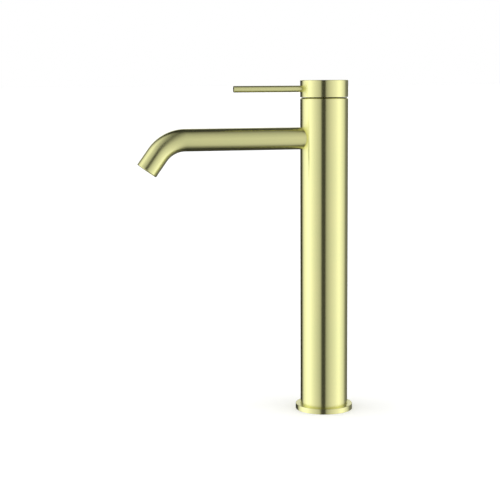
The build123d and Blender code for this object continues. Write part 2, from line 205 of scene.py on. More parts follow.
def round_corner(
    before: Corner, corner: Corner, after: Corner, steps: int = 5, guard_share: float = 0.6
) -> Outline:
    """Rounds one corner, with a ring just before and just after it that keeps the flats flat.

    Args:
        before: The corner before it.
        corner: The corner to round.
        after: The corner after it.
        steps: Number of steps round the arc.
        guard_share: Distance from the arc to those rings, as a share of its radius.

    Returns:
        The points that replace the corner.
    """
    point = Vector((corner.radius, corner.along))
    to_before = Vector((before.radius, before.along)) - point
    to_after = Vector((after.radius, after.along)) - point
    half = to_before.angle(to_after) / 2
    reach = corner.rounding / math.tan(half)
    to_before.normalize()
    to_after.normalize()
    centre = point + (to_before + to_after).normalized() * corner.rounding / math.sin(half)
    first = point + to_before * reach - centre
    swing = first.angle_signed(point + to_after * reach - centre)
    guard = corner.rounding * guard_share
    arc = [centre + Matrix.Rotation(-swing * step / steps, 2) @ first for step in range(steps + 1)]
    arc = [point + to_before * (reach + guard)] + arc + [point + to_after * (reach + guard)]
    return [(spot.x, spot.y) for spot in arc]


def outline_of(corners: Sequence[Corner], closed: bool) -> Outline:
    """Turns corners into the points of an outline.

    Args:
        corners: The corners in order, counter-clockwise with the radius to the right.
        closed: True if the last corner joins the first.

    Returns:
        The points as (radius, distance along).
    """
    points: Outline = []
    for index, corner in enumerate(corners):
        inner = closed or 0 < index < len(corners) - 1
        if corner.rounding > 0 and inner:
            after = corners[(index + 1) % len(corners)]
            points.extend(round_corner(corners[index - 1], corner, after))
        else:
            points.append((corner.radius, corner.along))
    return points


def arc_between(centre: float, radius: float, low: float, high: float, steps: int) -> list[Corner]:
    """Lists corners on a sphere's outline.

    Args:
        centre: Distance along the axis of the sphere's centre.
        radius: Radius of the sphere.
        low: Distance along the axis where the arc starts.
        high: Distance along the axis where it ends.
        steps: Number of steps.

    Returns:
        The corners from low to high.
    """
    first = math.asin((low - centre) / radius)
    last = math.asin((high - centre) / radius)
    corners = []
    for step in range(steps + 1):
        angle = first + (last - first) * step / steps
        corners.append(Corner(radius * math.cos(angle), centre + radius * math.sin(angle)))
    return corners


def turned(
    name: str, corners: Sequence[Corner], axis: Axis | BentAxis, closed: bool = True, steps: int = 192
) -> Piece:
    """Turns an outline about a centre line into a closed mesh with UVs that follow the turning.

    Args:
        name: Name of the piece.
        corners: The outline, counter-clockwise with the radius to the right.
        axis: The centre line.
        closed: False if the outline starts and ends on the centre line.
        steps: Number of facets round the centre line.

    Returns:
        The new object.
    """
    points = outline_of(corners, closed)
    if closed:
        points.append(points[0])
    stations: Outline = [points[0]]
    for (r0, s0), (r1, s1) in zip(points, points[1:]):
        marks = axis.breaks(min(s0, s1), max(s0, s1))
        for mark in marks if s1 > s0 else reversed(marks):
            share = (mark - s0) / (s1 - s0)
            stations.append((r0 + (r1 - r0) * share, mark))
        stations.append((r1, s1))
    verts: list[Vector] = []
    rings: list[list[int]] = []
    for radius, along in stations[:-1] if closed else stations:
        count = steps if radius > TINY else 1
        rings.append(list(range(len(verts), len(verts) + count)))
        verts.extend(axis.place(along, radius, 2 * math.pi * turn / steps) for turn in range(count))
    if closed:
        rings.append(rings[0])
    travel = [0.0]
    for (r0, s0), (r1, s1) in zip(stations, stations[1:]):
        travel.append(travel[-1] + math.hypot(r1 - r0, s1 - s0))
    faces: list[list[int]] = []
    uvs: list[Pair] = []
    for index, (low, high) in enumerate(zip(rings, rings[1:])):
        v0, v1 = travel[index], travel[index + 1]
        for turn in range(steps):
            u0, u1 = turn / steps, (turn + 1) / steps
            corner_uvs = [
                (low[turn % len(low)], (u0, v0)),
                (low[(turn + 1) % len(low)], (u1, v0)),
                (high[(turn + 1) % len(high)], (u1, v1)),
                (high[turn % len(high)], (u0, v1)),
            ]
            kept = [pair for spot, pair in enumerate(corner_uvs) if pair[0] != corner_uvs[spot - 1][0]]
            faces.append([vertex for vertex, _ in kept])
            uvs.extend(uv for _, uv in kept)
    return piece_from(name, verts, faces, uvs)


def piece_from(
    name: str, verts: Sequence[Vector], faces: Sequence[Sequence[int]], uvs: Sequence[Pair] = ()
) -> Piece:
    """Makes an object from points and faces, smooth except at real edges.

    Args:
        name: Name of the piece.
        verts: The points.
        faces: Indices of each face's points.
        uvs: One pair for each corner of each face, or none.

    Returns:
        The new object.
    """
    mesh = bpy.data.meshes.new(name)
    mesh.from_pydata(verts, [], faces)
    if uvs:
        layer = mesh.uv_layers.new(name=UV_NAME)
        for loop, uv in zip(layer.data, uvs):
            loop.uv = uv
    mesh.update()
    smooth(mesh)
    made = bpy.data.objects.new(name, mesh)
    bpy.context.scene.collection.objects.link(made)
    return made


def smooth(mesh: bpy.types.Mesh, edge_angle: float = math.radians(32)) -> None:
    """Shades a mesh smooth, and keeps its edges over an angle sharp.

    Args:
        mesh: The mesh.
        edge_angle: Angle between two faces above which their edge stays sharp.
    """
    mesh.polygons.foreach_set("use_smooth", [True] * len(mesh.polygons))
    mesh.set_sharp_from_angle(angle=edge_angle)


def block(name: str, low: Vector, high: Vector, placing: Matrix) -> Piece:
    """Makes a plain block for cutting with.

    Args:
        name: Name of the block.
        low: Its lowest corner.
        high: Its highest corner.
        placing: Matrix that puts it in place.

    Returns:
        The block.
    """
    ends = (low, high)
    verts = []
    for number in range(8):
        bits = (number & 1, number >> 1 & 1, number >> 2 & 1)
        verts.append(placing @ Vector([ends[bit][i] for i, bit in enumerate(bits)]))
    faces = [[0, 2, 3, 1], [4, 5, 7, 6], [0, 1, 5, 4], [2, 6, 7, 3], [0, 4, 6, 2], [1, 3, 7, 5]]
    return piece_from(name, verts, faces)


class Joining(Enum):
    """What is done with a second solid."""

    CUT = "DIFFERENCE"
    ADD = "UNION"


def combine(target: Piece, tool: Piece, joining: Joining) -> None:
    """Cuts a solid with another one, or adds it, and removes the other one.

    Args:
        target: The solid that changes.
        tool: The solid that is used up.
        joining: Whether it is cut or added.
    """
    modifier = target.modifiers.new("Join", "BOOLEAN")
    modifier.operation = joining.value
    modifier.solver = "EXACT"
    modifier.object = tool
    graph = bpy.context.evaluated_depsgraph_get()
    result = bpy.data.meshes.new_from_object(target.evaluated_get(graph))
    old = target.data
    target.modifiers.clear()
    target.data = result
    result.name = target.name
    bpy.data.meshes.remove(old)
    bpy.data.objects.remove(tool)
    smooth(result)


def true_wall(piece: Piece, radius: float, slack: float = 0.05 * MM, lean: float = 0.01) -> None:
    """Gives the round wall of an upright piece its exact normals after a cut.

    Args:
        piece: The piece, turned about the upright axis.
        radius: Radius of the wall.
        slack: How far the middle of a face of the wall may be off it.
        lean: How far up or down the normal of such a face may point.
    """
    mesh = piece.data
    normals = [corner.vector.copy() for corner in mesh.corner_normals]
    for face in mesh.polygons:
        off_wall = abs(math.hypot(face.center.x, face.center.y) - radius)
        if off_wall >= slack or abs(face.normal.z) > lean:
            continue
        for loop in face.loop_indices:
            spot = mesh.vertices[mesh.loops[loop].vertex_index].co
            normals[loop] = Vector((spot.x, spot.y, 0)).normalized()
    mesh.normals_split_custom_set(normals)


# ---- finishes


class Wiring:
    """Short words for adding and linking the nodes of a material or a world."""

    def __init__(self, tree: bpy.types.NodeTree) -> None:
        """Takes the tree that the nodes go into."""
        self.nodes = tree.nodes
        self.link = tree.links.new

    def maths(self, operation: str, first: Socket | float, second: Socket | float = 0.0) -> Socket:
        """Adds a Math node.

        Args:
            operation: Its operation.
            first: A number or a socket.
            second: A number or a socket.

        Returns:
            The result's socket.
        """
        node = self.nodes.new("ShaderNodeMath")
        node.operation = operation
        for socket, value in zip(node.inputs, (first, second)):
            if isinstance(value, Socket):
                self.link(value, socket)
            else:
                socket.default_value = value
        return node.outputs[0]


class Sheet(Wiring):
    """The nodes of one material."""

    def __init__(self, name: str) -> None:
        """Starts a material of a given name."""
        self.material = bpy.data.materials.new(name)
        self.material.use_nodes = True
        super().__init__(self.material.node_tree)
        self.surface = self.nodes["Principled BSDF"]

    def set(self, **values: float | Sequence[float]) -> None:
        """Sets sockets of the surface, with underscores for spaces in their names."""
        for key, value in values.items():
            self.surface.inputs[key.replace("_", " ")].default_value = value

    def noise(self, vector: Socket, detail: float, scale: float = 1.0) -> Socket:
        """Adds a noise texture.

        Args:
            vector: Where it is looked up.
            detail: Its number of finer layers.
            scale: Its scale.

        Returns:
            The value's socket.
        """
        node = self.nodes.new("ShaderNodeTexNoise")
        node.inputs["Scale"].default_value = scale
        node.inputs["Detail"].default_value = detail
        self.link(vector, node.inputs["Vector"])
        return node.outputs[0]

    def cloud(self, scale: float, detail: float) -> Socket:
        """Adds a noise texture in the piece's own space, with patches as wide as they are high."""
        return self.noise(self.object_vector((1, 1, 1)), detail, scale)

    def mix(self, first: Socket, second: Socket, share: float) -> Socket:
        """Adds up two values in shares.

        Args:
            first: The first value.
            second: The second value.
            share: Share of the first one in the sum.

        Returns:
            The sum's socket.
        """
        parts = (self.maths("MULTIPLY", first, share), self.maths("MULTIPLY", second, 1.0 - share))
        return self.maths("ADD", *parts)

    def spread(self, value: Socket, low: float, high: float) -> Socket:
        """Maps the middle of a noise to a range.

        Args:
            value: The noise.
            low: Result where the noise is low.
            high: Result where the noise is high.

        Returns:
            The result's socket.
        """
        node = self.nodes.new("ShaderNodeMapRange")
        self.link(value, node.inputs["Value"])
        for key, number in (("From Min", 0.3), ("From Max", 0.7), ("To Min", low), ("To Max", high)):
            node.inputs[key].default_value = number
        return node.outputs[0]

    def roughen(self, value: Socket, low: float, high: float) -> None:
        """Spreads the roughness between two values, by a noise."""
        self.link(self.spread(value, low, high), self.surface.inputs["Roughness"])

    def tint(self, value: Socket, low: Colour, high: Colour) -> None:
        """Blends the base colour between two colours.

        Args:
            value: The noise that it is blended by.
            low: Colour where the noise is low.
            high: Colour where the noise is high.
        """
        share = self.spread(value, 0.0, 1.0)
        node = self.nodes.new("ShaderNodeMix")
        node.data_type = "RGBA"
        self.link(share, node.inputs[0])
        node.inputs[6].default_value = (*low, 1.0)
        node.inputs[7].default_value = (*high, 1.0)
        self.link(node.outputs[2], self.surface.inputs["Base Color"])

    def bump(self, height: Socket, depth: float, strength: float) -> None:
        """Adds a bump.

        Args:
            height: The height, 0 to 1.
            depth: Depth in metres of a height of 1.
            strength: Its strength.
        """
        node = self.nodes.new("ShaderNodeBump")
        node.inputs["Strength"].default_value = strength
        node.inputs["Distance"].default_value = depth
        self.link(height, node.inputs["Height"])
        self.link(node.outputs[0], self.surface.inputs["Normal"])

    def turning_vector(self, around: float, along: float) -> Socket:
        """Gives a lookup whose lines run round a turned piece, with no seam.

        Args:
            around: How much the lines change round the piece.
            along: Lines for each metre along its outline.

        Returns:
            The vector's socket.
        """
        source = self.nodes.new("ShaderNodeUVMap")
        source.uv_map = UV_NAME
        parts = self.nodes.new("ShaderNodeSeparateXYZ")
        self.link(source.outputs[0], parts.inputs[0])
        angle = self.maths("MULTIPLY", parts.outputs[0], 2 * math.pi)
        made = self.nodes.new("ShaderNodeCombineXYZ")
        self.link(self.maths("MULTIPLY", self.maths("COSINE", angle), around), made.inputs[0])
        self.link(self.maths("MULTIPLY", self.maths("SINE", angle), around), made.inputs[1])
        self.link(self.maths("MULTIPLY", parts.outputs[1], along), made.inputs[2])
        return made.outputs[0]

    def object_vector(self, stretch: Sequence[float]) -> Socket:
        """Gives a lookup in the piece's own space, stretched along its axes.

        Args:
            stretch: Factor along X, Y and Z.

        Returns:
            The vector's socket.
        """
        source = self.nodes.new("ShaderNodeTexCoord")
        node = self.nodes.new("ShaderNodeVectorMath")
        node.operation = "MULTIPLY"
        self.link(source.outputs["Object"], node.inputs[0])
        node.inputs[1].default_value = stretch
        return node.outputs[0]


@dataclass(frozen=True)
class BrushedGold:
    """Pale greenish gold plating over fine turned lines.

    Attributes:
        slot: The record's material slot.
        tone: Main colour.
        cool: Colour of the slightly greener patches.
        roughness_low: Roughness on the smoothest lines.
        roughness_high: Roughness on the coarsest lines.
        stretch: How far highlights spread across the lines.
        coarse_lines: Wide lines for each metre.
        fine_lines: Fine lines for each metre.
        line_depth: Depth of a line, in metres.
        line_strength: Strength of the bump that the lines make.
        patch_scale: Scale of the greener patches.
    """

    slot: str = "brushed_gold"
    tone: Colour = (0.82, 0.79, 0.385)
    cool: Colour = (0.75, 0.765, 0.37)
    roughness_low: float = 0.21
    roughness_high: float = 0.24
    stretch: float = 0.85
    coarse_lines: float = 700.0
    fine_lines: float = 5000.0
    line_depth: float = 0.000004
    line_strength: float = 0.2
    patch_scale: float = 18.0

    def material(self) -> bpy.types.Material:
        """Builds the material."""
        sheet = Sheet(self.slot)
        sheet.set(Metallic=1.0, Anisotropic=self.stretch, Anisotropic_Rotation=0.25)
        sheet.set(Specular_Tint=(1.0, 1.0, 0.96, 1.0))
        tangent = sheet.nodes.new("ShaderNodeTangent")
        tangent.direction_type = "UV_MAP"
        tangent.uv_map = UV_NAME
        sheet.link(tangent.outputs[0], sheet.surface.inputs["Tangent"])
        coarse = sheet.noise(sheet.turning_vector(1.2, self.coarse_lines), detail=3.0)
        fine = sheet.noise(sheet.turning_vector(2.5, self.fine_lines), detail=1.0)
        lines = sheet.mix(coarse, fine, share=0.6)
        sheet.roughen(lines, self.roughness_low, self.roughness_high)
        patches = sheet.cloud(self.patch_scale, detail=2.0)
        sheet.tint(sheet.mix(patches, lines, share=0.5), self.cool, self.tone)
        sheet.bump(lines, self.line_depth, self.line_strength)
        return sheet.material


@dataclass(frozen=True)
class MachinedMetal:
    """Bare metal with the marks of the lathe or the mill.

    Attributes:
        slot: The record's material slot.
        bright: Colour of the clean metal.
        dull: Colour of the slightly tarnished metal.
        roughness: Middle roughness.
        marks: Tool marks for each metre along the height.
        mark_depth: Depth of a tool mark, in metres.
    """

    slot: str
    bright: Colour
    dull: Colour
    roughness: float
    marks: float = 1800.0
    mark_depth: float = 0.00001

    def material(self) -> bpy.types.Material:
        """Builds the material."""
        sheet = Sheet(self.slot)
        sheet.set(Metallic=1.0)
        marks = sheet.noise(sheet.object_vector((60.0, 60.0, self.marks)), detail=2.0)
        sheet.roughen(marks, self.roughness * 0.8, self.roughness * 1.25)
        sheet.tint(sheet.cloud(90.0, detail=3.0), self.dull, self.bright)
        sheet.bump(marks, self.mark_depth, strength=0.3)
        return sheet.material


@dataclass(frozen=True)
class Moulded:
    """Plastic, rubber or ceramic with a fine surface grain.

    Attributes:
        slot: The record's material slot.
        light: Lighter colour.
        dark: Darker colour.
        roughness: Middle roughness.
        grain: Grain for each metre.
        grain_depth: Depth of the grain, in metres.
        coat: Weight of a clear glaze.
    """

    slot: str
    light: Colour
    dark: Colour
    roughness: float
    grain: float = 1500.0
    grain_depth: float = 0.00002
    coat: float = 0.0

    def material(self) -> bpy.types.Material:
        """Builds the material."""
        sheet = Sheet(self.slot)
        sheet.set(Coat_Weight=self.coat, Coat_Roughness=0.08)
        grain = sheet.cloud(self.grain, detail=2.0)
        sheet.roughen(grain, self.roughness * 0.85, self.roughness * 1.15)
        sheet.tint(sheet.cloud(120.0, detail=2.0), self.dark, self.light)
        sheet.bump(grain, self.grain_depth, strength=0.4)
        return sheet.material


FINISHES = (
    BrushedGold(),
    MachinedMetal("raw_brass", (0.78, 0.62, 0.30), (0.60, 0.46, 0.22), 0.30),
    MachinedMetal("stainless", (0.68, 0.68, 0.66), (0.56, 0.56, 0.55), 0.24, 2600.0),
    Moulded("ceramic", (0.90, 0.89, 0.85), (0.86, 0.85, 0.80), 0.14, 2500.0, 0.000004, 0.5),
    Moulded("plastic", (0.80, 0.80, 0.77), (0.74, 0.74, 0.71), 0.42),
    Moulded("dark_plastic", (0.10, 0.10, 0.105), (0.06, 0.06, 0.065), 0.45),
    Moulded("rubber", (0.030, 0.030, 0.032), (0.018, 0.018, 0.018), 0.68),
)


class Dresser:
    """Keeps one material for each slot, and puts pieces on their bodies."""

    def __init__(self) -> None:
        """Builds the materials and looks up the body of each node."""
        self.materials = {finish.slot: finish.material() for finish in FINISHES}
        self.slots = {row["node"]: row["material_slot"] for row in frame["record"]["subparts"]}
        bodies = frame["record"]["behaviour"]["bodies"]
        self.bodies = {node: body for body, nodes in bodies.items() for node in nodes}

    def dress(self, piece: Piece, node: str) -> None:
        """Puts a fine piece in place of a node of the model.

        Args:
            piece: The fine piece.
            node: The node that it stands for.
        """
        piece.data.materials.clear()
        piece.data.materials.append(self.materials[self.slots[node]])
        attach(piece, self.bodies[node])
        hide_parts(node)
        LOG.info("%s stands for %s: %d faces", piece.name, node, len(piece.data.polygons))

    def carry(self, nodes: Sequence[str]) -> None:
        """Gives nodes of the model that stay as they are their better materials.

        Args:
            nodes: Names of the nodes.
        """
        for node in nodes:
            for holder in frame["nodes"][node].material_slots:
                holder.material = self.materials[self.slots[node]]
            LOG.info("%s keeps its shape in %s", node, self.slots[node])


def box_radius(node: str) -> float:
    """Gives the radius of a node that is round about the upright axis."""
    low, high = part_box(node)
    return (high[1] - low[1]) / 2


# ---- sub-assemblies


@dataclass
class Gauze:
    """The woven wire mesh of the aerator.

    Attributes:
        axis: Axis of the mouth.
        reach: Radius of the mesh.
        shelf: Depth in the mouth of the ledge that holds the mesh.
        wire: Radius of a wire.
        pitch: Distance between two wires.
        rise: Height of the mesh over the ledge, in radii of a wire.
        stops_a_pitch: Number of steps along a wire for each pitch.
        least_stops: Least number of steps along a wire.
        sides: Number of sides of a wire.
        verts: Points of the wires made so far.
        faces: Faces of the wires made so far.
    """

    axis: Axis
    reach: float
    shelf: float
    wire: float = 0.1 * MM
    pitch: float = 0.75 * MM
    rise: float = 2.2
    stops_a_pitch: int = 3
    least_stops: int = 6
    sides: int = 5
    verts: list[Vector] = field(default_factory=list)
    faces: list[list[int]] = field(default_factory=list)

    def weave(self) -> Piece:
        """Builds every wire of both directions."""
        count = int(self.reach / self.pitch)
        for across in (False, True):
            for number in range(-count, count + 1):
                self.add_wire(number, across)
        return piece_from("aerator_gauze", self.verts, self.faces)

    def add_wire(self, number: int, across: bool) -> None:
        """Adds one wavy wire, unless it is too near to the edge.

        Args:
            number: Its place among its neighbours, from 0 in the middle.
            across: True for a wire of the second direction.
        """
        offset = number * self.pitch
        half = math.sqrt(max(self.reach**2 - offset**2, 0.0))
        if half < self.pitch:
            return
        phase = math.pi * (number + (1 if across else 0))
        up, sides = self.axis.direction, self.sides
        run, aside = (self.axis.other, self.axis.side) if across else (self.axis.side, self.axis.other)
        middle = self.axis.origin + up * (self.shelf + self.rise * self.wire) + aside * offset
        stops = max(self.least_stops, int(2 * half / (self.pitch / self.stops_a_pitch)))
        first = len(self.verts)
        for stop in range(stops + 1):
            place = -half + 2 * half * stop / stops
            wave = math.cos(math.pi * place / self.pitch + phase) * self.wire
            for side in range(sides):
                angle = 2 * math.pi * side / sides
                spoke = (aside * math.cos(angle) + up * math.sin(angle)) * self.wire
                self.verts.append(middle + up * wave + run * place + spoke)
        for a in range(first, first + stops * sides):
            b = a + 1 if (a + 1 - first) % sides else a + 1 - sides
            self.faces.append([a, a + sides, b + sides, b] if across else [a, b, b + sides, a + sides])
        last = first + stops * sides
        ends = [list(range(first, first + sides)), list(range(last, last + sides))]
        ends[1 if across else 0].reverse()
        self.faces.extend(ends)


@dataclass
class Spout:
    """The bent tube of the spout, and the aerator in its mouth.

    Attributes:
        wall: Wall of the tube.
        bend_radius: Radius of the bend at the centre line.
        bend_angle: Angle of the bend.
        nose: Length of the straight end.
        lip: Rounding of the outer edge of the rim.
        inner_lip: Rounding of its inner edge.
        rim_bevel: Bevel of the rim in the model, which its reach is measured over.
        seat_depth: Depth of the shoulder behind the aerator.
        seat_width: Width of the shoulder.
        seat_length: Length of the shoulder.
        shell_recess: Depth of the aerator in the mouth.
        shell_length: Length of the aerator's shell.
        shell_wall: Wall of the shell.
        shell_edge: Rounding of the edges of the shell.
        shell_lip: Width of the lip that holds the mesh.
        lip_height: Height of that lip.
        notches: Number of notches for the key.
        notch_deep: Half the depth of a notch, as a share of the lip's width.
        notch_wide: Half the width of a notch, as a share of the lip's width.
        tuck: Where the tube starts before its cut, as a share of the column's bore.
        gap: Gap round the shell and round the mesh.
        radius: Radius of the tube.
        line: Centre line of the tube.
    """

    wall: float = 1.3 * MM
    bend_radius: float = 31.7 * MM
    bend_angle: float = math.radians(54.3)
    nose: float = 17.7 * MM
    lip: float = 0.45 * MM
    inner_lip: float = 0.18 * MM
    rim_bevel: float = 0.3 * MM
    seat_depth: float = 10.4 * MM
    seat_width: float = 0.9 * MM
    seat_length: float = 1.2 * MM
    shell_recess: float = 0.8 * MM
    shell_length: float = 8.0 * MM
    shell_wall: float = 0.8 * MM
    shell_edge: float = 0.15 * MM
    shell_lip: float = 0.9 * MM
    lip_height: float = 1.2 * MM
    notches: int = 4
    notch_deep: float = 0.45
    notch_wide: float = 0.9
    tuck: float = 0.8
    gap: float = 0.05 * MM
    radius: float = field(init=False)
    line: BentAxis = field(init=False)

    def __post_init__(self) -> None:
        """Takes the tube's size and place from the model."""
        low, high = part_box("spout_tube")
        self.radius = (high[1] - low[1]) / 2
        bent, angle = self.bend_radius, self.bend_angle
        reach = -low[0] - self.radius * math.sin(angle) + self.rim_bevel * math.cos(angle)
        run = reach - bent * math.sin(angle) - self.nose * math.cos(angle)
        self.line = BentAxis(high[2] - self.radius, run, bent, angle, self.nose)

    @property
    def bore(self) -> float:
        """Radius of the waterway."""
        return self.radius - self.wall

    def tube(self, column_bore: float) -> Piece:
        """Builds the tube, with its inner end cut to the bore of the column.

        Args:
            column_bore: Radius of the bore of the column.

        Returns:
            The tube.
        """
        end = self.line.length
        seat = end - self.seat_depth
        start = column_bore * self.tuck
        corners = [
            Corner(self.radius, start),
            Corner(self.radius, end, self.lip),
            Corner(self.bore, end, self.inner_lip),
            Corner(self.bore, seat),
            Corner(self.bore - self.seat_width, seat),
            Corner(self.bore - self.seat_width, seat - self.seat_length),
            Corner(self.bore, seat - self.seat_length),
            Corner(self.bore, start),
        ]
        tube = turned("spout", corners, self.line)
        for vertex in tube.data.vertices:
            if vertex.co.x > -start - self.gap:
                vertex.co.x = -math.sqrt(column_bore**2 - vertex.co.y**2)
        return tube

    def mouth_axis(self) -> Axis:
        """Gives the axis of the mouth, with distances growing back up the tube."""
        centre, heading, outside = self.line.frame_at(self.line.length)
        return Axis(centre, -heading, outside)

    def shell(self) -> Piece:
        """Builds the aerator's shell, with notches in its lip for the key."""
        outer = self.bore - self.gap
        inner = outer - self.shell_wall
        front, back = self.shell_recess, self.shell_recess + self.shell_length
        ledge = front + self.lip_height
        corners = [
            Corner(inner - self.shell_lip, front, self.shell_edge),
            Corner(outer, front, self.shell_edge),
            Corner(outer, back, self.shell_edge),
            Corner(inner, back),
            Corner(inner, ledge),
            Corner(inner - self.shell_lip, ledge),
        ]
        axis = self.mouth_axis()
        shell = turned("aerator_ring", corners, axis, steps=128)
        lip = self.shell_lip
        half = Vector((lip * self.notch_deep, lip * self.notch_wide, self.lip_height))
        basis = Matrix((axis.side, axis.other, axis.direction)).transposed().to_4x4()
        for notch in range(self.notches):
            turn = Matrix.Rotation(2 * math.pi * notch / self.notches, 4, "Z")
            shift = Matrix.Translation((inner - self.shell_lip, 0, front))
            placing = Matrix.Translation(axis.origin) @ basis @ turn @ shift
            combine(shell, block("notch", -half, half, placing), Joining.CUT)
        return shell

    def mesh(self) -> Piece:
        """Builds the woven wire mesh of the aerator."""
        reach = self.bore - self.shell_wall - 2 * self.gap
        return Gauze(self.mouth_axis(), reach, self.shell_recess + self.lip_height).weave()

    def build(self, dresser: Dresser, column_bore: float) -> None:
        """Builds and dresses the spout and its aerator.

        Args:
            dresser: The finishes and bodies.
            column_bore: Radius of the bore of the column.
        """
        dresser.dress(self.tube(column_bore), "spout_tube")
        dresser.dress(self.shell(), "aerator_shell")
        dresser.dress(self.mesh(), "aerator_mesh")
        dresser.carry(("flow_former", "aerator_washer"))


@dataclass
class Column:
    """The column with its base ring, and everything inside them.

    Attributes:
        wall: Wall of the column.
        top_bevel: Bevel of the top outer edge.
        bevel_edge: Rounding of the two edges of that bevel.
        foot_edge: Rounding of the edges at the foot and at the top of the bore.
        hole_start: Where the cutter of the spout's hole starts, as a share of the bore.
        hole_end: Where it ends, as a share of the column's radius.
        ring_edge: Rounding of the top edge of the base ring.
        seat_edge: Rounding of the inner edge that meets the column.
        ring_recess: Depth of the recess that the column stands in.
        ring_lip: Width of the ledge inside the base ring.
        seal_mean: Mean radius of the seal's groove.
        seal_width: Width of the groove.
        seal_depth: Depth of the groove.
        cover_opening: Radius of the opening of the cover ring.
        cover_edge: Rounding of the top edges of the cover ring.
        gap: Gap in a brazed or pressed joint.
    """

    wall: float = 2.5 * MM
    top_bevel: float = 1.3 * MM
    bevel_edge: float = 0.85 * MM
    foot_edge: float = 0.15 * MM
    hole_start: float = 0.7
    hole_end: float = 1.2
    ring_edge: float = 0.4 * MM
    seat_edge: float = 0.25 * MM
    ring_recess: float = 2.55 * MM
    ring_lip: float = 1.5 * MM
    seal_mean: float = 23.0 * MM
    seal_width: float = 3.7 * MM
    seal_depth: float = 1.5 * MM
    cover_opening: float = 15.0 * MM
    cover_edge: float = 0.6 * MM
    gap: float = 0.05 * MM

    @property
    def radius(self) -> float:
        """Radius of the column."""
        return box_radius("column")

    @property
    def bore(self) -> float:
        """Radius of the bore of the column."""
        return self.radius - self.wall

    def shaft(self, spout: Spout) -> Piece:
        """Builds the column, with the hole that the spout passes through.

        Args:
            spout: The spout.

        Returns:
            The column.
        """
        low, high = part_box("column")
        corners = [
            Corner(self.bore, low[2], self.foot_edge),
            Corner(self.radius, low[2], self.foot_edge),
            Corner(self.radius, high[2] - self.top_bevel, self.bevel_edge),
            Corner(self.radius - self.top_bevel, high[2], self.bevel_edge),
            Corner(self.bore, high[2], self.foot_edge),
        ]
        shaft = turned("column_tube", corners, UPRIGHT, steps=256)
        hole = spout.radius + self.gap
        start, end = self.bore * self.hole_start, self.radius * self.hole_end
        rod = [Corner(0, start), Corner(hole, start), Corner(hole, end), Corner(0, end)]
        combine(shaft, turned("spout_hole", rod, spout.line, closed=False), Joining.CUT)
        true_wall(shaft, self.radius)
        return shaft

    def base_ring(self) -> Piece:
        """Builds the base ring, with the recess above and the seal's groove below."""
        low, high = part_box("base_ring")
        outer = box_radius("base_ring")
        inner = self.bore - self.ring_lip
        ledge = high[2] - self.ring_recess
        recess = self.radius + self.gap
        half = self.seal_width / 2 + self.gap
        groove = (self.seal_mean - half, self.seal_mean + half)
        corners = [
            Corner(inner, low[2]),
            Corner(groove[0], low[2]),
            Corner(groove[0], low[2] + self.seal_depth),
            Corner(groove[1], low[2] + self.seal_depth),
            Corner(groove[1], low[2]),
            Corner(outer, low[2], self.foot_edge),
            Corner(outer, high[2], self.ring_edge),
            Corner(recess, high[2], self.seat_edge),
            Corner(recess, ledge),
            Corner(inner, ledge),
        ]
        return turned("base_flange", corners, UPRIGHT, steps=256)

    def cover(self) -> Piece:
        """Builds the cover ring that shows in the seam under the cap."""
        low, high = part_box("cover_ring")
        outer = box_radius("cover_ring")
        corners = [
            Corner(self.cover_opening, low[2]),
            Corner(outer, low[2]),
            Corner(outer, high[2], self.cover_edge),
            Corner(self.cover_opening, high[2], self.cover_edge),
        ]
        return turned("seam_ring", corners, UPRIGHT)

    def build(self, dresser: Dresser, spout: Spout) -> None:
        """Builds and dresses the column and its base ring, and dresses what is inside them.

        Args:
            dresser: The finishes and bodies.
            spout: The spout.
        """
        dresser.dress(self.shaft(spout), "column")
        dresser.dress(self.base_ring(), "base_ring")
        dresser.dress(self.cover(), "cover_ring")
        dresser.carry(("base_seal", "anchor_plate", "valve_body", "retaining_nut"))
        dresser.carry(("cartridge_base", "port_seals", "disc_seals", "fixed_disc", "cartridge_housing"))
        dresser.carry(("rotor", "neck_seal", "pivot_pin", "disc_carrier", "moving_disc"))


